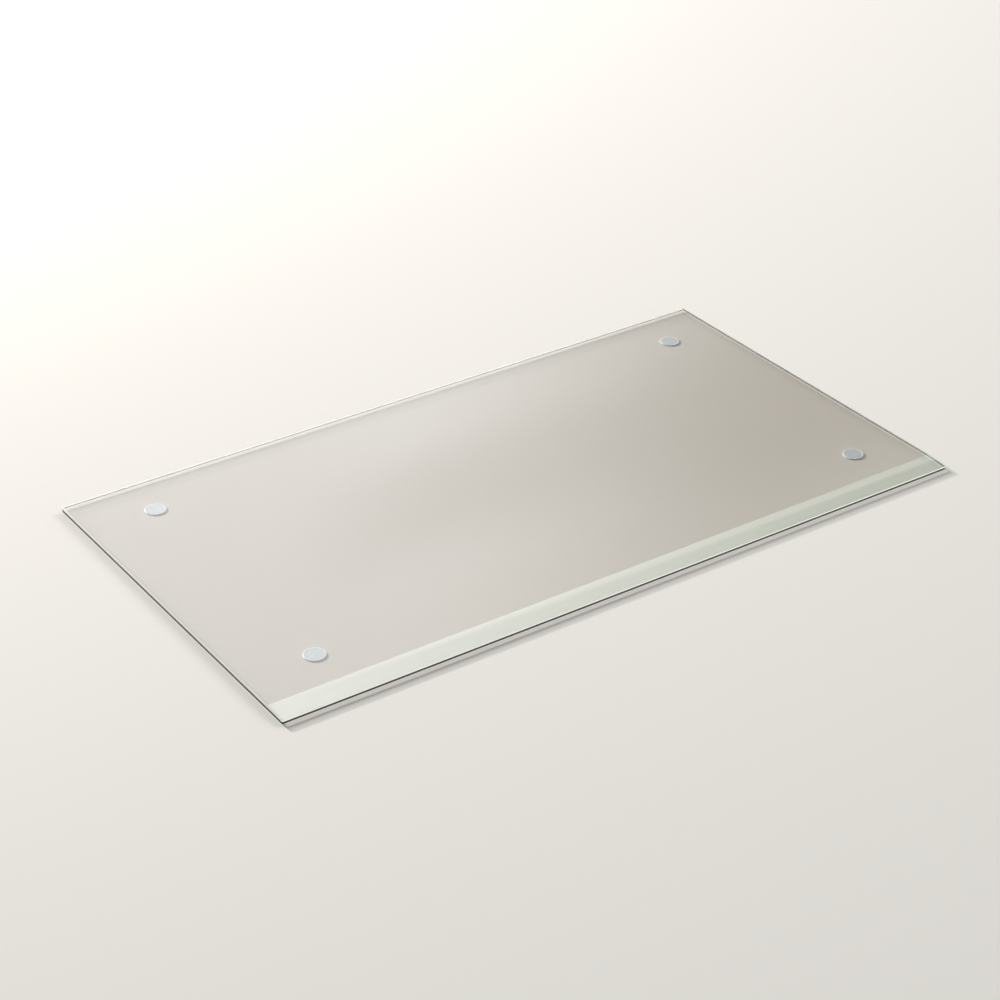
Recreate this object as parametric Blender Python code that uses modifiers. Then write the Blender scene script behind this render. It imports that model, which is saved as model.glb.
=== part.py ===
"""Clear glass floor mat on four round bumpers.

The mat is a rectangular sheet of toughened glass. A wide, shallow bevel runs along its front
long edge, where a chair rolls on, and its other edges are flat with a ground arris. Four clear
silicone bumpers hold it just off the floor. Each bumper is a round pad with a pocket in its top,
and a disc of adhesive in the pocket bonds it to the underside of the sheet.

Metres, +Z up. The origin is on the floor under the middle of the sheet, +X runs along the long
side, and +Y runs from the bevelled front edge to the back edge.
"""

import math

import bmesh
import bpy
from mathutils import Matrix, Vector

COLLECTION_NAME = "chair_mat"
CUTTER_COLLECTION_NAME = "cutters"

# Faces that touch on the real mat are modelled this far apart.
CONTACT_GAP = 0.0003

# Points closer than this are merged.
WELD_DISTANCE = 0.00001

# Glass sheet
SHEET_LENGTH = 0.9144
SHEET_DEPTH = 0.508
SHEET_THICKNESS = 0.00635
CORNER_RADIUS = 0.0015
CORNER_SEGMENTS = 8
ARRIS_WIDTH = 0.0006
ARRIS_SEGMENTS = 2
BEVEL_WIDTH = 0.030
BEVEL_DROP = 0.0026

# Bumpers: they stand on the floor, and the sheet rests on them.
BUMPER_RADIUS = 0.0127
BUMPER_HEIGHT = 0.0016
SHOULDER_RADIUS = 0.0005
SOLE_EDGE_RADIUS = 0.0003
POCKET_RADIUS = 0.0107
POCKET_FLOOR = 0.0005
ROUND_SEGMENTS = 64
FILLET_SEGMENTS = 4

# Adhesive discs, each in its bumper's pocket
ADHESIVE_RADIUS = POCKET_RADIUS - CONTACT_GAP

# The bumpers stand in a rectangle, a little behind and to the right of the sheet's middle.
BUMPER_SPACING_X = 0.7538
BUMPER_SPACING_Y = 0.3602
BUMPER_PATTERN_X = 0.0095
BUMPER_PATTERN_Y = 0.0125

SHEET_BOTTOM = BUMPER_HEIGHT
SHEET_TOP = SHEET_BOTTOM + SHEET_THICKNESS


def clear_scene():
    for obj in list(bpy.data.objects):
        bpy.data.objects.remove(obj, do_unlink=True)


def new_collection(name):
    collection = bpy.data.collections.new(name)
    bpy.context.scene.collection.children.link(collection)
    return collection


def surface_material(name, color, roughness, transmission=0.0, ior=1.5):
    """Returns a Principled material that isn't metallic."""
    material = bpy.data.materials.new(name)
    material.use_nodes = True
    shader = material.node_tree.nodes["Principled BSDF"]
    shader.inputs["Base Color"].default_value = (*color, 1.0)
    shader.inputs["Roughness"].default_value = roughness
    shader.inputs["Metallic"].default_value = 0.0
    shader.inputs["Transmission Weight"].default_value = transmission
    shader.inputs["IOR"].default_value = ior
    return material


def add_object(name, mesh, collection, material=None):
    obj = bpy.data.objects.new(name, mesh)
    collection.objects.link(obj)
    if material:
        mesh.materials.append(material)
    return obj


def shade_round(mesh, sharp_angle=math.radians(35)):
    mesh.shade_smooth()
    mesh.set_sharp_from_angle(angle=sharp_angle)


def arc_points(center, radius, start_angle, end_angle, segments):
    """Returns the points of an arc, both ends included."""
    step = (end_angle - start_angle) / segments
    angles = [start_angle + step * index for index in range(segments + 1)]
    return [
        (center[0] + radius * math.cos(angle), center[1] + radius * math.sin(angle))
        for angle in angles
    ]


def rounded_rectangle(length, depth, radius, segments):
    """Returns the outline of a rectangle with rounded corners, anticlockwise."""
    half_x = length / 2 - radius
    half_y = depth / 2 - radius
    centers = [(half_x, half_y), (-half_x, half_y), (-half_x, -half_y), (half_x, -half_y)]
    outline = []
    for index, center in enumerate(centers):
        start = index * math.pi / 2
        outline += arc_points(center, radius, start, start + math.pi / 2, segments)
    return outline


def extruded_outline(name, outline, thickness, collection):
    """Returns a mesh object: the flat outline, extruded evenly about its own XY plane."""
    curve = bpy.data.curves.new(name + "_outline", "CURVE")
    curve.dimensions = "2D"
    curve.fill_mode = "BOTH"
    curve.extrude = thickness / 2
    spline = curve.splines.new("POLY")
    spline.points.add(len(outline) - 1)
    for point, (x, y) in zip(spline.points, outline):
        point.co = (x, y, 0.0, 1.0)
    spline.use_cyclic_u = True
    guide = bpy.data.objects.new(name + "_outline", curve)
    collection.objects.link(guide)
    depsgraph = bpy.context.evaluated_depsgraph_get()
    mesh = bpy.data.meshes.new_from_object(guide.evaluated_get(depsgraph))
    mesh.name = name
    bpy.data.objects.remove(guide)

    welded = bmesh.new()
    welded.from_mesh(mesh)
    bmesh.ops.remove_doubles(welded, verts=welded.verts, dist=WELD_DISTANCE)
    bmesh.ops.recalc_face_normals(welded, faces=welded.faces)
    welded.to_mesh(mesh)
    welded.free()
    return add_object(name, mesh, collection)


def bevel_cutter(cutters):
    """Returns a tilted block whose lower face is the plane of the front bevel."""
    block_height = 2 * SHEET_THICKNESS
    block_depth = 4 * BEVEL_WIDTH
    mesh = bpy.data.meshes.new("front_bevel_cutter")
    block = bmesh.new()
    bmesh.ops.create_cube(block, size=1.0)
    bmesh.ops.scale(block, vec=(1.2 * SHEET_LENGTH, block_depth, block_height), verts=block.verts)
    bmesh.ops.translate(block, vec=(0.0, 0.0, block_height / 2), verts=block.verts)
    block.to_mesh(mesh)
    block.free()

    cutter = add_object("front_bevel_cutter", mesh, cutters)
    slope = math.atan2(BEVEL_DROP, BEVEL_WIDTH)
    cutter.rotation_euler = (slope, 0.0, 0.0)
    cutter.location = (0.0, BEVEL_WIDTH - SHEET_DEPTH / 2, SHEET_TOP)
    cutter.hide_render = True
    cutter.display_type = "WIRE"
    return cutter


def build_glass_sheet(parts, cutters):
    outline = rounded_rectangle(SHEET_LENGTH, SHEET_DEPTH, CORNER_RADIUS, CORNER_SEGMENTS)
    sheet = extruded_outline("glass_sheet", outline, SHEET_THICKNESS, parts)
    sheet.location = (0.0, 0.0, SHEET_BOTTOM + SHEET_THICKNESS / 2)
    sheet.data.materials.append(
        surface_material("clear_glass", (0.86, 0.89, 0.85), 0.03, transmission=1.0, ior=1.52)
    )

    cut = sheet.modifiers.new("front_bevel", "BOOLEAN")
    cut.operation = "DIFFERENCE"
    cut.solver = "EXACT"
    cut.object = bevel_cutter(cutters)

    arris = sheet.modifiers.new("arris", "BEVEL")
    arris.width = ARRIS_WIDTH
    arris.segments = ARRIS_SEGMENTS
    arris.limit_method = "ANGLE"
    arris.angle_limit = math.radians(40)
    return sheet


def bumper_profile():
    """Returns half of the bumper's section as (radius, height), from the pocket to the sole."""
    rim_top = BUMPER_HEIGHT - CONTACT_GAP
    shoulder = arc_points(
        (BUMPER_RADIUS - SHOULDER_RADIUS, rim_top - SHOULDER_RADIUS),
        SHOULDER_RADIUS,
        math.pi / 2,
        0.0,
        FILLET_SEGMENTS,
    )
    sole_edge = arc_points(
        (BUMPER_RADIUS - SOLE_EDGE_RADIUS, SOLE_EDGE_RADIUS),
        SOLE_EDGE_RADIUS,
        0.0,
        -math.pi / 2,
        FILLET_SEGMENTS,
    )
    pocket = [(0.0, POCKET_FLOOR), (POCKET_RADIUS, POCKET_FLOOR), (POCKET_RADIUS, rim_top)]
    return pocket + shoulder + sole_edge + [(0.0, 0.0)]


def bumper_mesh():
    """Returns the section's line, for a Screw modifier to turn about Z."""
    profile = bumper_profile()
    mesh = bpy.data.meshes.new("bumper")
    section = bmesh.new()
    verts = [section.verts.new((radius, 0.0, height)) for radius, height in profile]
    for first, second in zip(verts, verts[1:]):
        section.edges.new((first, second))
    section.to_mesh(mesh)
    section.free()
    return mesh


def build_bumper(name, x, y, parts):
    bumper = add_object(name, bumper_mesh(), parts)
    bumper.data.materials.append(
        surface_material(name + "_silicone", (0.80, 0.85, 0.88), 0.35, transmission=0.2, ior=1.41)
    )
    bumper.location = (x, y, 0.0)
    turn = bumper.modifiers.new("turn", "SCREW")
    turn.axis = "Z"
    turn.steps = ROUND_SEGMENTS
    turn.render_steps = ROUND_SEGMENTS
    turn.use_merge_vertices = True
    turn.merge_threshold = WELD_DISTANCE
    turn.use_smooth_shade = True
    return bumper


def build_adhesive(name, x, y, parts):
    bottom = POCKET_FLOOR + CONTACT_GAP
    top = SHEET_BOTTOM - CONTACT_GAP
    mesh = bpy.data.meshes.new(name)
    disc = bmesh.new()
    bmesh.ops.create_cone(
        disc,
        cap_ends=True,
        segments=ROUND_SEGMENTS,
        radius1=ADHESIVE_RADIUS,
        radius2=ADHESIVE_RADIUS,
        depth=top - bottom,
        matrix=Matrix.Translation(Vector((0.0, 0.0, (top + bottom) / 2))),
    )
    disc.to_mesh(mesh)
    disc.free()
    shade_round(mesh)
    material = surface_material(name + "_tape", (0.74, 0.80, 0.84), 0.45)
    adhesive = add_object(name, mesh, parts, material)
    adhesive.location = (x, y, 0.0)
    return adhesive


def bumper_places():
    """Yields each bumper's corner name and its X and Y."""
    for row, side_y in (("front", -1), ("rear", 1)):
        for side, side_x in (("left", -1), ("right", 1)):
            x = BUMPER_PATTERN_X + side_x * BUMPER_SPACING_X / 2
            y = BUMPER_PATTERN_Y + side_y * BUMPER_SPACING_Y / 2
            yield f"{row}_{side}", x, y


def build_mat():
    clear_scene()
    parts = new_collection(COLLECTION_NAME)
    cutters = new_collection(CUTTER_COLLECTION_NAME)
    build_glass_sheet(parts, cutters)
    for corner, x, y in bumper_places():
        build_bumper("bumper_" + corner, x, y, parts)
        build_adhesive("adhesive_" + corner, x, y, parts)


build_mat()
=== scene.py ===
"""Looks of the chair mat: a clear glass sheet with a bevelled front edge, on four clear bumpers.

Lengths and places are in metres and angles in degrees, unless a name says otherwise. An azimuth
is measured from +Y towards +X.
"""

import math

import bmesh
import bpy
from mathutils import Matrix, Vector


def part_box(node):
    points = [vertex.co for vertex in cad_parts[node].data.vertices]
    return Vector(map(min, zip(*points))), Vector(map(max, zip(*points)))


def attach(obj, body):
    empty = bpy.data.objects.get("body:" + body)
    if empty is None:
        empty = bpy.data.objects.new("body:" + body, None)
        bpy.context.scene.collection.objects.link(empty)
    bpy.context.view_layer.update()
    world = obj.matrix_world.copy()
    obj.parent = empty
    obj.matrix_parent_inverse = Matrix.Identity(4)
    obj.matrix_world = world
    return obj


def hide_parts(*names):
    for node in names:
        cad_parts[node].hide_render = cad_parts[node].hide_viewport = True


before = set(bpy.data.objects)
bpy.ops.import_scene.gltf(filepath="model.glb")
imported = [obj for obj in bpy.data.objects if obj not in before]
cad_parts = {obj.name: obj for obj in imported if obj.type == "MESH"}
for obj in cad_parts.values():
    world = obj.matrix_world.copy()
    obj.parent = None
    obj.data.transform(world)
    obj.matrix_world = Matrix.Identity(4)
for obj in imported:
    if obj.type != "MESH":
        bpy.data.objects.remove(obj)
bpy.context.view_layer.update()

CORNERS = ("front_left", "front_right", "rear_left", "rear_right")

# Camera
CAMERA_PLACE = (-1.42740, -2.05938, 1.48320)
CAMERA_TURN = (59.1744, -0.0053, -34.4468)
LENS_MM = 88.928
SENSOR_MM = 36.0
CLIP_START = 0.05
CLIP_END = 200.0

# Key light: a small soft lamp behind the mat and a little to its left
KEY_AZIMUTH = -15.5
KEY_ELEVATION = 17.9
KEY_DISTANCE = 6.0
KEY_WIDTH = 0.10
KEY_POWER = 575.0
KEY_COLOR = (1.0, 0.985, 0.95)

# Fill light: a large soft panel to the right
FILL_AZIMUTH = 95.0
FILL_ELEVATION = 32.0
FILL_DISTANCE = 9.0
FILL_SIZE = (3.6, 4.2)
FILL_POWER = 230.0

# Floor
FLOOR_HALF_WIDTH = 30.0
FLOOR_COLOR = (0.865, 0.820, 0.783)
BACKDROP_COLOR = (0.84, 0.82, 0.78)

# Sheet, read from the frame; the corner, the arris and the bevel repeat the CAD's own numbers.
# The bevel here starts at a gentler slope and curves down to the same drop.
SHEET_LOW, SHEET_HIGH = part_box("glass_sheet")
SHEET_BOTTOM = SHEET_LOW.z
SHEET_TOP = SHEET_HIGH.z
FRONT_Y = SHEET_LOW.y
CORNER_RADIUS = 0.0015
CORNER_SEGMENTS = 10
ARRIS = 0.0006
ARRIS_SEGMENTS = 3
BEVEL_WIDTH = 0.030
BEVEL_DROP = 0.0026
BEVEL_START_SLOPE = math.tan(math.radians(4.0))
BEVEL_ROWS = 24
CUT_TOLERANCE = 1e-7

# How level a face of the sheet is, as the size of its normal's Z: 1 is level and 0 is upright
LEVEL_ABOVE = 0.98
UPRIGHT_BELOW = 0.02

# The sheet's materials, in the order of its material slots
POLISHED, GROUND_EDGE, GROUND_ARRIS = range(3)

# Where the left and the back edge faces give way to the rest of the sheet, in X and in Y
LEFT_FACE = (SHEET_LOW.x + ARRIS, SHEET_LOW.x + CORNER_RADIUS)
BACK_FACE = (SHEET_HIGH.y - CORNER_RADIUS, SHEET_HIGH.y - ARRIS)

# Bumpers and films. The pocket's wall and floor stay a gap away from the film, and the corner
# between them is cut by a chamfer, as wide and as high as given.
ROUND_SEGMENTS = 128
ROUNDING_SEGMENTS = 3
SHARP_ANGLE = 35.0
POCKET_GAP = 0.0003
POCKET_CHAMFER = (0.0002, 0.0001)
LIP_RADIUS = 0.00025
SHOULDER_RADIUS = 0.0005
SOLE_CHAMFER = 0.0003
GROOVE_COUNT = 3
GROOVE_SPACING = 0.002
GROOVE_HALF_WIDTH = 0.0003
GROOVE_DEPTH = 0.0002
FILM_CHAMFER = 0.0001
ON_AXIS = 1e-6

# Optical values
GLASS_IOR = 1.52
SILICONE_IOR = 1.41
ADHESIVE_IOR = 1.47
GLASS_TINT = (0.935, 0.905, 0.862)

# Tint of the light that passes through a polished face on its way to the floor
FACE_LIGHT_TINT = (0.850, 0.848, 0.838)

# Ground edges seen from outside, with painted shade and painted glow: painted dark up to a height
# above the floor, then pale, then painted white. The border of the painted shade wanders a little
# along the edge, and is higher on the left face.
PAINTED_SHADE_ENDS = (0.0033, 0.0045)
PAINTED_GLOW_STARTS = (0.0046, 0.0070)
BAND_WANDER = 0.0004
LEFT_PAINTED_SHADE_LIFT = 0.0005
PAINTED_SHADE_DARK = (0.012, 0.012, 0.010)
PALE_GROUND = (0.66, 0.67, 0.61)
PAINTED_GLOW_WHITE = (0.86, 0.87, 0.82)
EDGE_TRANSLUCENCY = 0.25

# Ground edges seen through the glass: clear, and frosted from a height on, lower on the back face
FROST_STARTS = (0.0046, 0.0054)
BACK_FROST_DROP = 0.0022
FROST_AMOUNT = 0.75
FROST_COLOR = (0.50, 0.50, 0.46)

# How much light passes the ground edges, by height. The left face passes only a part of it, and
# the back face passes some more low down, where the key light falls on it.
LOW_LIGHT_STARTS = (0.0019, 0.0034)
LOW_LIGHT = 0.50
HIGH_LIGHT_STARTS = (0.0032, 0.0054)
HIGH_LIGHT = 0.27
LEFT_LIGHT_PART = 0.2
BACK_LIGHT_ENDS = (0.0030, 0.0044)
BACK_LIGHT = 0.25

# Ground arrises: the lower ones are painted dark as painted shade, and the upper ones are pale and
# pass light
UPPER_ARRIS_STARTS = (0.0026, 0.0042)
PALE_ARRIS = (0.52, 0.53, 0.49)
ARRIS_SPECULAR = (0.1, 0.5)
ARRIS_TRANSLUCENCY = 0.3
ARRIS_LIGHT_STARTS = (0.0022, 0.0034)
ARRIS_LIGHT = 0.65

# Painted highlight on the upper arrises: an emitted glow, by how far their normal points forward, left
# or back
FRONT_FACING = (-0.45, -0.15)
FRONT_PAINTED_GLOW = 1.0
LEFT_FACING = (-0.35, -0.1)
LEFT_PAINTED_GLOW = 0.66
BACK_FACING = (0.15, 0.25)
BACK_PAINTED_GLOW = 0.2
PAINTED_GLOW_COLOR = (0.92, 1.0, 0.94)

# The studio that the glass mirrors. Four angles say where a light starts to rise, is full,
# starts to fall and is gone; two say where something starts and is full.
ROOM_COLOR = (0.07, 0.07, 0.07)
WINDOW_AZIMUTHS = (-60.0, -48.0, 31.0, 43.0)
WINDOW_ELEVATIONS = (4.0, 12.0, 36.0, 42.0)
WINDOW_COLOR = (1.50, 1.56, 1.66)

# A faint dark bar that begins at the window's right end and slopes down to the right
BAR_AZIMUTHS = (28.0, 33.0)
BAR_SLOPE = 0.3
BAR_HEIGHTS = (38.8, 40.3, 40.7, 42.5)
BAR_DEPTH = 0.28
BAR_COLOR = (0.0, 0.0, 0.0)

CEILING_ELEVATIONS = (35.0, 42.0)
CEILING_COLOR = (0.10, 0.10, 0.10)

WALL_AZIMUTHS = (62.0, 72.0, 118.0, 128.0)
WALL_ELEVATIONS = (10.0, 20.0, 36.0, 44.0)
WALL_COLOR = (0.60, 0.60, 0.58)

# A long strip light over the window. Past BEND_AZIMUTH it droops by DROOP times the square of the
# angle past it, and its heights are elevations with that droop added back. It is brighter along
# its lower rim, and at its left end. A pair of colours is the right part's and the left end's, and
# RIM_WIDTHS says over what height the rim fades, at the left end and in the right part.
BEND_AZIMUTH = 30.0
DROOP = 0.0139
STRIP_AZIMUTHS = (8.0, 18.0, 60.0, 75.0)
STRIP_HEIGHTS = (38.0, 40.5, 47.0, 57.0)
STRIP_RISE = (41.5, 45.0)
RIM_HEIGHTS = (38.0, 40.5, 41.0)
RIM_WIDTHS = (3.0, 1.1)
LEFT_END_FADES = (28.0, 50.0)
LEFT_END_LEAST = 0.03
STRIP_LOW_COLORS = ((0.10, 0.75, 0.55), (3.30, 3.80, 3.75))
STRIP_HIGH_COLORS = ((0.95, 1.60, 1.20), (4.50, 5.10, 4.95))
RIM_COLORS = ((1.45, 2.05, 1.65), (4.60, 5.20, 4.95))

# A faint glow under the strip
FOOT_AZIMUTHS = (27.0, 35.0, 52.0, 60.0)
FOOT_HEIGHTS = (31.2, 33.4)
FOOT_DEPTH = 0.2
FOOT_COLOR = (1.5, 1.5, 1.5)


# ---------------------------------------------------------------- nodes


class Nodes:
    """A small helper that builds one node tree."""

    def __init__(self, tree):
        self.tree = tree
        tree.nodes.clear()

    def add(self, kind, **settings):
        node = self.tree.nodes.new(kind)
        for key, value in settings.items():
            setattr(node, key, value)
        return node

    def put(self, socket, value):
        """Links a socket into this one, or sets this one to a plain value."""
        if isinstance(value, bpy.types.NodeSocket):
            self.tree.links.new(value, socket)
        elif isinstance(value, (tuple, list)) and socket.type == "RGBA":
            socket.default_value = (*value[:3], 1.0)
        else:
            socket.default_value = value

    def math(self, operation, *values):
        node = self.add("ShaderNodeMath", operation=operation)
        for socket, value in zip(node.inputs, values):
            self.put(socket, value)
        return node.outputs[0]

    def plus(self, a, b):
        return self.math("ADD", a, b)

    def times(self, a, b):
        return self.math("MULTIPLY", a, b)

    def ramp(self, value, low, high, start=0.0, end=1.0):
        """A smooth step from start, where value is at low, to end, where it is at high."""
        node = self.add("ShaderNodeMapRange", interpolation_type="SMOOTHSTEP")
        for name, number in (
            ("Value", value),
            ("From Min", low),
            ("From Max", high),
            ("To Min", start),
            ("To Max", end),
        ):
            self.put(node.inputs[name], number)
        return node.outputs["Result"]

    def hump(self, value, rise, top, edge, fall):
        """0 up to rise, 1 from top to edge, and 0 again from fall on."""
        return self.times(self.ramp(value, rise, top), self.ramp(value, edge, fall, 1.0, 0.0))

    def blend(self, factor, a, b):
        node = self.add("ShaderNodeMix", data_type="RGBA")
        self.put(node.inputs[0], factor)
        self.put(node.inputs[6], a)
        self.put(node.inputs[7], b)
        return node.outputs[2]

    def grey(self, value):
        node = self.add("ShaderNodeCombineColor")
        for socket in node.inputs[:3]:
            self.put(socket, value)
        return node.outputs[0]

    def split(self, vector):
        node = self.add("ShaderNodeSeparateXYZ")
        self.put(node.inputs[0], vector)
        return node.outputs

    def place(self):
        """The object's own coordinates, in metres."""
        return self.add("ShaderNodeTexCoord").outputs["Object"]

    def stretched_place(self, scale):
        node = self.add("ShaderNodeMapping")
        self.put(node.inputs["Vector"], self.place())
        node.inputs["Scale"].default_value = scale
        return node.outputs[0]

    def noise(self, vector, scale, detail):
        node = self.add("ShaderNodeTexNoise")
        self.put(node.inputs["Vector"], vector)
        self.put(node.inputs["Scale"], scale)
        self.put(node.inputs["Detail"], detail)
        return node.outputs["Fac"]

    def bump(self, height, strength, distance):
        node = self.add("ShaderNodeBump")
        self.put(node.inputs["Height"], height)
        self.put(node.inputs["Strength"], strength)
        self.put(node.inputs["Distance"], distance)
        return node.outputs["Normal"]

    def mix_shaders(self, factor, a, b):
        node = self.add("ShaderNodeMixShader")
        self.put(node.inputs[0], factor)
        self.put(node.inputs[1], a)
        self.put(node.inputs[2], b)
        return node.outputs[0]

    def principled(self, **inputs):
        node = self.add("ShaderNodeBsdfPrincipled")
        for name, value in inputs.items():
            self.put(node.inputs[name.replace("_", " ")], value)
        return node.outputs[0]

    def clear_glass(self, **inputs):
        return self.principled(
            Base_Color=GLASS_TINT, Roughness=0.0, IOR=GLASS_IOR, Transmission_Weight=1.0, **inputs
        )

    def colored(self, kind, color):
        """A plain shader of this kind, in one colour."""
        node = self.add(kind)
        self.put(node.inputs["Color"], color)
        return node.outputs[0]

    def with_light_through(self, surface, tint):
        """The surface for what is seen, and a plain tint for light on its way to what lies beneath."""
        clear = self.colored("ShaderNodeBsdfTransparent", tint)
        path = self.add("ShaderNodeLightPath")
        seen = self.mix_shaders(path.outputs["Is Diffuse Ray"], surface, clear)
        return self.mix_shaders(path.outputs["Is Shadow Ray"], seen, clear)

    def finish(self, surface, kind="ShaderNodeOutputMaterial"):
        self.put(self.add(kind).inputs["Surface"], surface)


def new_material(name):
    material = bpy.data.materials.new(name)
    material.use_nodes = True
    return material, Nodes(material.node_tree)


# ---------------------------------------------------------------- materials


def glass_face_material():
    """The big flat faces and the bevel: polished float glass, with a trace of roller wave."""
    material, n = new_material("glass_polished")
    wave = n.noise(n.stretched_place((1.0, 0.25, 1.0)), scale=7.0, detail=1.0)
    glass = n.clear_glass(Normal=n.bump(wave, strength=0.08, distance=0.0006))
    n.finish(n.with_light_through(glass, FACE_LIGHT_TINT))
    return material


def glass_edge_material():
    """The upright edges: ground glass that lets some light through, painted dark in its lower part as
    painted shade, and painted white at the top as painted glow.
    """
    material, n = new_material("glass_edge")
    x, y, height = n.split(n.place())
    streaks = n.noise(n.stretched_place((1.0, 1.0, 0.15)), scale=900.0, detail=3.0)
    wander = n.math("MULTIPLY_ADD", streaks, BAND_WANDER, -BAND_WANDER / 2)
    # Painted shade and painted glow by height: dark low down, pale above and white at the top, with
    # the dark reaching higher on the left face
    level = n.plus(n.plus(height, wander), n.ramp(x, *LEFT_FACE, -LEFT_PAINTED_SHADE_LIFT, 0.0))
    shade = n.blend(n.ramp(level, *PAINTED_SHADE_ENDS), PAINTED_SHADE_DARK, PALE_GROUND)
    shade = n.blend(n.ramp(level, *PAINTED_GLOW_STARTS), shade, PAINTED_GLOW_WHITE)
    ground = n.principled(
        Base_Color=shade,
        Roughness=0.28,
        IOR=GLASS_IOR,
        Specular_IOR_Level=0.25,
        Normal=n.bump(streaks, strength=0.25, distance=0.00005),
    )
    through = n.colored("ShaderNodeBsdfTranslucent", shade)
    outer = n.mix_shaders(EDGE_TRANSLUCENCY, ground, through)

    frost_height = n.plus(height, n.ramp(y, *BACK_FACE, 0.0, BACK_FROST_DROP))
    frosted = n.ramp(frost_height, *FROST_STARTS, 0.0, FROST_AMOUNT)
    frost = n.colored("ShaderNodeBsdfTranslucent", FROST_COLOR)
    inner = n.mix_shaders(frosted, n.clear_glass(), frost)
    inside = n.add("ShaderNodeNewGeometry").outputs["Backfacing"]
    seen = n.mix_shaders(inside, outer, inner)

    low = n.ramp(height, *LOW_LIGHT_STARTS, 0.0, LOW_LIGHT)
    high = n.ramp(height, *HIGH_LIGHT_STARTS, 0.0, HIGH_LIGHT)
    passed = n.times(n.plus(low, high), n.ramp(x, *LEFT_FACE, LEFT_LIGHT_PART, 1.0))
    low_down = n.ramp(height, *BACK_LIGHT_ENDS, 1.0, 0.0)
    back_low = n.times(n.ramp(y, *BACK_FACE, 0.0, BACK_LIGHT), low_down)
    n.finish(n.with_light_through(seen, n.grey(n.plus(passed, back_low))))
    return material


def glass_arris_material():
    """The narrow ground arrises. The upper ones carry a painted glow, an emission that stands in for a
    highlight.
    """
    material, n = new_material("glass_arris")
    _, y, height = n.split(n.place())
    upper = n.ramp(height, *UPPER_ARRIS_STARTS)
    # The lower arrises are painted dark, a painted shade
    shade = n.blend(upper, PAINTED_SHADE_DARK, PALE_ARRIS)
    # Painted highlight: the upper arrises emit a glow, stronger where they face forward, left or back
    facing_x, facing_y, _ = n.split(n.add("ShaderNodeNewGeometry").outputs["True Normal"])
    front_painted_glow = n.ramp(facing_y, *FRONT_FACING, FRONT_PAINTED_GLOW, 0.0)
    left_painted_glow = n.ramp(facing_x, *LEFT_FACING, LEFT_PAINTED_GLOW, 0.0)
    back_painted_glow = n.ramp(facing_y, *BACK_FACING, 0.0, BACK_PAINTED_GLOW)
    painted_glow = n.times(upper, n.plus(n.plus(front_painted_glow, left_painted_glow), back_painted_glow))
    grain = n.noise(n.place(), scale=2500.0, detail=3.0)
    ground = n.principled(
        Base_Color=shade,
        Roughness=0.45,
        IOR=GLASS_IOR,
        Specular_IOR_Level=n.ramp(height, *UPPER_ARRIS_STARTS, *ARRIS_SPECULAR),
        Normal=n.bump(grain, strength=0.5, distance=0.00005),
        Emission_Color=PAINTED_GLOW_COLOR,
        Emission_Strength=painted_glow,
    )
    through = n.colored("ShaderNodeBsdfTranslucent", shade)
    surface = n.mix_shaders(ARRIS_TRANSLUCENCY, ground, through)

    passed = n.ramp(height, *ARRIS_LIGHT_STARTS, 0.0, ARRIS_LIGHT)
    back_low = n.times(n.ramp(y, *BACK_FACE, 0.0, BACK_LIGHT), n.math("SUBTRACT", 1.0, upper))
    n.finish(n.with_light_through(surface, n.grey(n.plus(passed, back_low))))
    return material


def silicone_material():
    """Moulded clear silicone, frosted by its own thickness, with a faint painted glow, an emission
    that brightens it.
    """
    material, n = new_material("clear_silicone_moulded")
    grain = n.noise(n.place(), scale=1800.0, detail=3.0)
    cloud = n.noise(n.place(), scale=260.0, detail=2.0)
    silicone = n.principled(
        Base_Color=n.blend(cloud, (0.94, 0.95, 0.95), (0.98, 0.98, 0.97)),
        Roughness=n.ramp(grain, 0.3, 0.7, start=0.26, end=0.42),
        IOR=SILICONE_IOR,
        Subsurface_Weight=0.25,
        Subsurface_Radius=(0.002, 0.002, 0.002),
        Subsurface_Scale=1.0,
        # Painted glow: a faint emission that brightens the silicone
        Emission_Color=(1.0, 1.0, 0.98),
        Emission_Strength=0.07,
        Normal=n.bump(grain, strength=0.35, distance=0.00006),
    )
    n.finish(silicone)
    return material


def adhesive_material():
    """The blue-white face of the adhesive disc, mottled where it wets the glass unevenly."""
    material, n = new_material("adhesive_film")
    cloud = n.noise(n.place(), scale=340.0, detail=3.0)
    mottle = n.ramp(cloud, 0.35, 0.65)
    bubbles = n.noise(n.place(), scale=1500.0, detail=2.0)
    film = n.principled(
        Base_Color=n.blend(mottle, (0.735, 0.82, 0.94), (0.805, 0.88, 0.975)),
        Roughness=0.22,
        IOR=ADHESIVE_IOR,
        Coat_Weight=0.35,
        Coat_Roughness=0.12,
        Normal=n.bump(bubbles, strength=0.2, distance=0.00005),
    )
    n.finish(film)
    return material


def floor_material():
    material, n = new_material("floor")
    n.finish(n.principled(Base_Color=FLOOR_COLOR, Roughness=0.9, Specular_IOR_Level=0.05))
    return material


# ---------------------------------------------------------------- pieces


def arc(center, radius, start, end, segments):
    """Points of an arc, both ends included; the angles are in radians."""
    step = (end - start) / segments
    angles = [start + step * k for k in range(segments + 1)]
    return [
        (center[0] + radius * math.cos(angle), center[1] + radius * math.sin(angle))
        for angle in angles
    ]


def outline(inset):
    """The sheet's plan, drawn in by inset, anticlockwise from the right-hand side."""
    half_x = SHEET_HIGH.x - CORNER_RADIUS
    half_y = SHEET_HIGH.y - CORNER_RADIUS
    centers = ((half_x, half_y), (-half_x, half_y), (-half_x, -half_y), (half_x, -half_y))
    points = []
    for k, center in enumerate(centers):
        start = k * math.pi / 2
        points += arc(center, CORNER_RADIUS - inset, start, start + math.pi / 2, CORNER_SEGMENTS)
    return points


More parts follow.
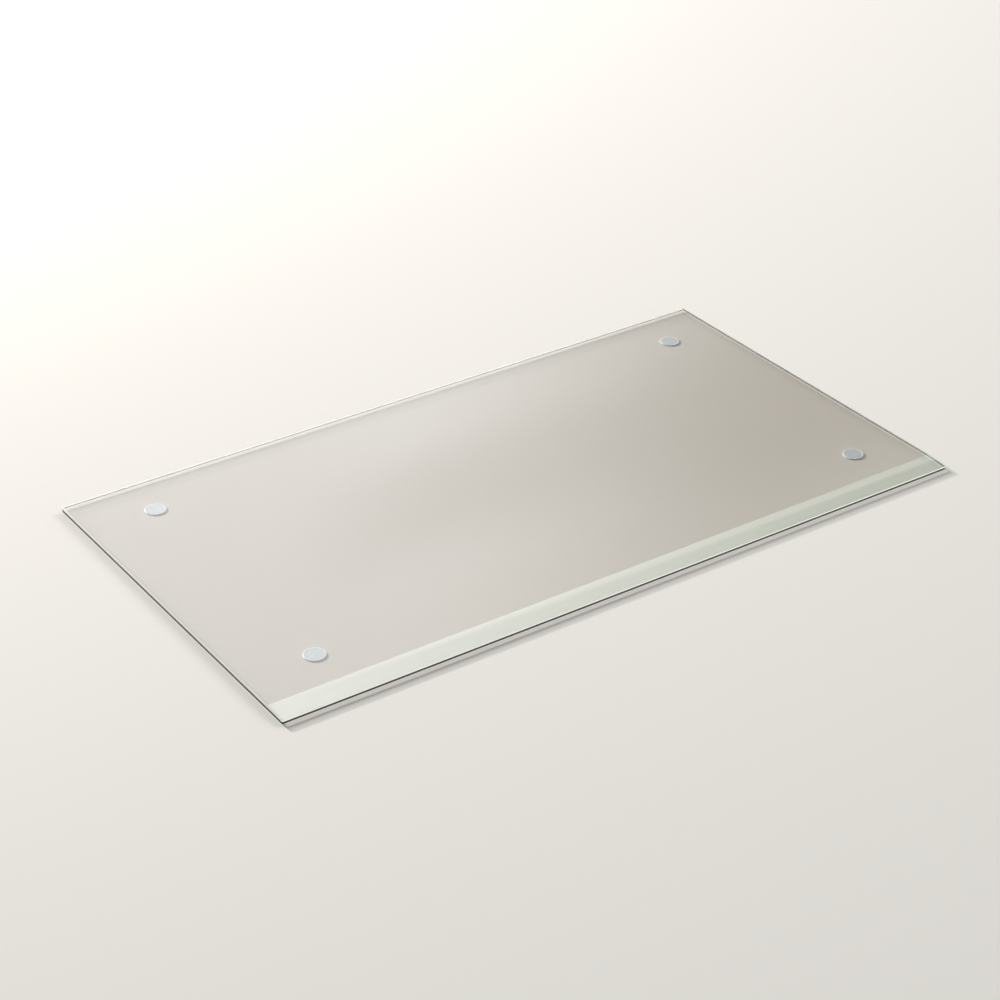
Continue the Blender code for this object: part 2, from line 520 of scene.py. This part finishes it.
def bevel_drop(y):
    """How far the upper face lies below the flat top at y: a shallow curve along the front."""
    run = min(max(FRONT_Y + BEVEL_WIDTH - y, 0.0), BEVEL_WIDTH)
    curve = (BEVEL_DROP - BEVEL_START_SLOPE * BEVEL_WIDTH) / BEVEL_WIDTH**2
    return BEVEL_START_SLOPE * run + curve * run * run


def sheet_rings():
    """Each ring of the sheet's side as (inset, height), from the underside up to the top."""
    angles = [math.pi / 2 / ARRIS_SEGMENTS * k for k in range(ARRIS_SEGMENTS + 1)]
    lower = [(ARRIS * (1 - math.sin(a)), SHEET_BOTTOM + ARRIS * (1 - math.cos(a))) for a in angles]
    upper = [(ARRIS * (1 - math.cos(a)), SHEET_TOP - ARRIS * (1 - math.sin(a))) for a in angles]
    return lower + upper


def skin_rings(work, loops):
    """Joins each loop of points to the next one, and closes both ends."""
    work.faces.new(list(reversed(loops[0])))
    for below, above in zip(loops, loops[1:]):
        for k in range(len(below)):
            j = (k + 1) % len(below)
            work.faces.new((below[k], below[j], above[j], above[k]))
    work.faces.new(loops[-1])


def lower_bevel(work):
    """Cuts rows across the bevel, and lowers the upper face along it."""
    for row in range(BEVEL_ROWS):
        y = FRONT_Y + BEVEL_WIDTH * (1 - row / BEVEL_ROWS)
        bmesh.ops.bisect_plane(
            work,
            geom=work.verts[:] + work.edges[:] + work.faces[:],
            dist=CUT_TOLERANCE,
            plane_co=(0.0, y, 0.0),
            plane_no=(0.0, 1.0, 0.0),
        )
    middle = (SHEET_BOTTOM + SHEET_TOP) / 2
    for vert in work.verts:
        if vert.co.z > middle:
            vert.co.z -= bevel_drop(vert.co.y)
    work.normal_update()


def sort_sheet_faces(work):
    """Gives each face its material, and smooth shading to the arrises and the curved bevel."""
    for face in work.faces:
        levelness = abs(face.normal.z)
        if levelness > LEVEL_ABOVE:
            face.material_index = POLISHED
        elif levelness < UPRIGHT_BELOW:
            face.material_index = GROUND_EDGE
        else:
            face.material_index = GROUND_ARRIS
        in_front = face.calc_center_median().y < FRONT_Y + BEVEL_WIDTH
        on_bevel = face.normal.z > LEVEL_ABOVE and in_front
        face.smooth = face.material_index == GROUND_ARRIS or on_bevel
    for edge in work.edges:
        kinds = {(face.material_index, face.smooth) for face in edge.link_faces}
        edge.smooth = len(kinds) == 1


def add_piece(name, work, materials):
    """Makes an object of the finished bmesh, with these materials in its slots."""
    mesh = bpy.data.meshes.new(name)
    work.to_mesh(mesh)
    work.free()
    for material in materials:
        mesh.materials.append(material)
    piece = bpy.data.objects.new(name, mesh)
    bpy.context.scene.collection.objects.link(piece)
    return piece


def make_sheet():
    work = bmesh.new()
    loops = []
    for inset, height in sheet_rings():
        loops.append([work.verts.new((x, y, height)) for x, y in outline(inset)])
    skin_rings(work, loops)
    lower_bevel(work)
    sort_sheet_faces(work)
    materials = (glass_face_material(), glass_edge_material(), glass_arris_material())
    sheet = add_piece("glass_sheet_fine", work, materials)
    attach(sheet, "root")
    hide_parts("glass_sheet")


def turned(name, profile, center, material):
    """A closed solid of revolution from (radius, height) points, first and last on the axis."""
    work = bmesh.new()
    rings = []
    for radius, height in profile:
        count = 1 if radius < ON_AXIS else ROUND_SEGMENTS
        ring = []
        for k in range(count):
            angle = 2 * math.pi * k / count
            x = center[0] + radius * math.cos(angle)
            y = center[1] + radius * math.sin(angle)
            ring.append(work.verts.new((x, y, height)))
        rings.append(ring)
    for a, b in zip(rings, rings[1:]):
        for k in range(ROUND_SEGMENTS):
            j = (k + 1) % ROUND_SEGMENTS
            corners = [a[k % len(a)], a[j % len(a)], b[j % len(b)], b[k % len(b)]]
            work.faces.new(list(dict.fromkeys(corners)))
    bmesh.ops.recalc_face_normals(work, faces=work.faces[:])
    for face in work.faces:
        face.smooth = True
    piece = add_piece(name, work, [material])
    piece.data.set_sharp_from_angle(angle=math.radians(SHARP_ANGLE))
    return piece


def pad_profile(radius, top, pocket, floor):
    """A bumper's half section, from the middle of its pocket to the middle of its grooved sole."""
    inset, rise = POCKET_CHAMFER
    profile = [(0.0, floor), (pocket - inset, floor), (pocket, floor + rise)]
    lip_center = (pocket + LIP_RADIUS, top - LIP_RADIUS)
    profile += arc(lip_center, LIP_RADIUS, math.pi, math.pi / 2, ROUNDING_SEGMENTS)
    shoulder_center = (radius - SHOULDER_RADIUS, top - SHOULDER_RADIUS)
    profile += arc(shoulder_center, SHOULDER_RADIUS, math.pi / 2, 0.0, ROUNDING_SEGMENTS)
    profile += [(radius, SOLE_CHAMFER), (radius - SOLE_CHAMFER, 0.0)]
    for k in range(GROOVE_COUNT):
        groove = radius - GROOVE_SPACING * (k + 1)
        profile += [
            (groove, 0.0),
            (groove - GROOVE_HALF_WIDTH, GROOVE_DEPTH),
            (groove - 2 * GROOVE_HALF_WIDTH, 0.0),
        ]
    return profile + [(0.0, 0.0)]


def film_profile(radius, low, high):
    """A disc's half section, with a small chamfer round both faces."""
    return [
        (0.0, low),
        (radius - FILM_CHAMFER, low),
        (radius, low + FILM_CHAMFER),
        (radius, high - FILM_CHAMFER),
        (radius - FILM_CHAMFER, high),
        (0.0, high),
    ]


def make_bumpers():
    silicone = silicone_material()
    adhesive = adhesive_material()
    for corner in CORNERS:
        low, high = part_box("bumper_" + corner)
        film_low, film_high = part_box("adhesive_" + corner)
        center = ((low.x + high.x) / 2, (low.y + high.y) / 2)
        radius = (high.x - low.x) / 2
        film_radius = (film_high.x - film_low.x) / 2

        section = pad_profile(radius, high.z, film_radius + POCKET_GAP, film_low.z - POCKET_GAP)
        pad = turned("bumper_pad_" + corner, section, center, silicone)
        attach(pad, "root")
        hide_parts("bumper_" + corner)

        section = film_profile(film_radius, film_low.z, film_high.z)
        film = turned("adhesive_film_" + corner, section, center, adhesive)
        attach(film, "root")
        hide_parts("adhesive_" + corner)


# ---------------------------------------------------------------- studio


def make_camera():
    camera = bpy.data.cameras.new("camera")
    camera.lens = LENS_MM
    camera.sensor_width = SENSOR_MM
    camera.sensor_fit = "HORIZONTAL"
    camera.clip_start = CLIP_START
    camera.clip_end = CLIP_END
    obj = bpy.data.objects.new("camera", camera)
    bpy.context.scene.collection.objects.link(obj)
    obj.location = CAMERA_PLACE
    obj.rotation_euler = [math.radians(angle) for angle in CAMERA_TURN]
    bpy.context.scene.camera = obj


def make_floor():
    work = bmesh.new()
    bmesh.ops.create_grid(work, x_segments=1, y_segments=1, size=FLOOR_HALF_WIDTH)
    add_piece("floor", work, [floor_material()])


def make_world():
    """A dim room with a window behind the mat, a strip light over it and a pale wall to the right.

    The camera itself sees a plain pale backdrop.
    """
    world = bpy.data.worlds.new("studio")
    bpy.context.scene.world = world
    world.use_nodes = True
    n = Nodes(world.node_tree)
    x, y, z = n.split(n.add("ShaderNodeTexCoord").outputs["Generated"])
    azimuth = n.math("DEGREES", n.math("ARCTAN2", x, y))
    elevation = n.math("DEGREES", n.math("ARCSINE", z))
    past_bend = n.math("MAXIMUM", n.math("SUBTRACT", azimuth, BEND_AZIMUTH), 0.0)
    height = n.math("MULTIPLY_ADD", n.times(past_bend, past_bend), DROOP, elevation)

    window = n.times(n.hump(azimuth, *WINDOW_AZIMUTHS), n.hump(elevation, *WINDOW_ELEVATIONS))
    color = n.blend(window, ROOM_COLOR, WINDOW_COLOR)
    bar_height = n.math("MULTIPLY_ADD", azimuth, BAR_SLOPE, elevation)
    bar = n.times(n.ramp(azimuth, *BAR_AZIMUTHS, 0.0, BAR_DEPTH), n.hump(bar_height, *BAR_HEIGHTS))
    color = n.blend(bar, color, BAR_COLOR)
    foot = n.times(n.hump(azimuth, *FOOT_AZIMUTHS), n.ramp(height, *FOOT_HEIGHTS, 0.0, FOOT_DEPTH))
    color = n.blend(foot, color, FOOT_COLOR)
    color = n.blend(n.ramp(elevation, *CEILING_ELEVATIONS), color, CEILING_COLOR)
    wall = n.times(n.hump(azimuth, *WALL_AZIMUTHS), n.hump(elevation, *WALL_ELEVATIONS))
    color = n.blend(wall, color, WALL_COLOR)

    along = n.hump(azimuth, *STRIP_AZIMUTHS)
    left_end = n.ramp(azimuth, *LEFT_END_FADES, 1.0, LEFT_END_LEAST)
    strip_low = n.blend(left_end, *STRIP_LOW_COLORS)
    strip_high = n.blend(left_end, *STRIP_HIGH_COLORS)
    strip_color = n.blend(n.ramp(height, *STRIP_RISE), strip_low, strip_high)
    color = n.blend(n.times(along, n.hump(height, *STRIP_HEIGHTS)), color, strip_color)
    rim_end = n.plus(n.ramp(azimuth, *LEFT_END_FADES, *RIM_WIDTHS), RIM_HEIGHTS[-1])
    rim = n.times(along, n.hump(height, *RIM_HEIGHTS, rim_end))
    color = n.blend(rim, color, n.blend(left_end, *RIM_COLORS))

    mirrored = n.colored("ShaderNodeBackground", color)
    backdrop = n.colored("ShaderNodeBackground", BACKDROP_COLOR)
    seen = n.add("ShaderNodeLightPath").outputs["Is Camera Ray"]
    n.finish(n.mix_shaders(seen, mirrored, backdrop), "ShaderNodeOutputWorld")


def place_lamp(lamp, azimuth, elevation, distance):
    """Hangs a lamp in that direction from the origin, aimed at it."""
    obj = bpy.data.objects.new(lamp.name, lamp)
    bpy.context.scene.collection.objects.link(obj)
    side = math.radians(azimuth)
    up = math.radians(elevation)
    away = Vector((math.sin(side) * math.cos(up), math.cos(side) * math.cos(up), math.sin(up)))
    obj.location = away * distance
    obj.rotation_mode = "QUATERNION"
    obj.rotation_quaternion = (-away).to_track_quat("-Z", "Y")
    return obj


def make_key_light():
    lamp = bpy.data.lights.new("key", "AREA")
    lamp.shape = "DISK"
    lamp.size = KEY_WIDTH
    lamp.energy = KEY_POWER
    lamp.color = KEY_COLOR
    place_lamp(lamp, KEY_AZIMUTH, KEY_ELEVATION, KEY_DISTANCE)


def make_fill_light():
    lamp = bpy.data.lights.new("fill", "AREA")
    lamp.shape = "RECTANGLE"
    lamp.size, lamp.size_y = FILL_SIZE
    lamp.energy = FILL_POWER
    panel = place_lamp(lamp, FILL_AZIMUTH, FILL_ELEVATION, FILL_DISTANCE)
    panel.visible_glossy = False


make_camera()
make_floor()
make_world()
make_key_light()
make_fill_light()
make_sheet()
make_bumpers()
bpy.context.scene.view_settings.view_transform = "Standard"
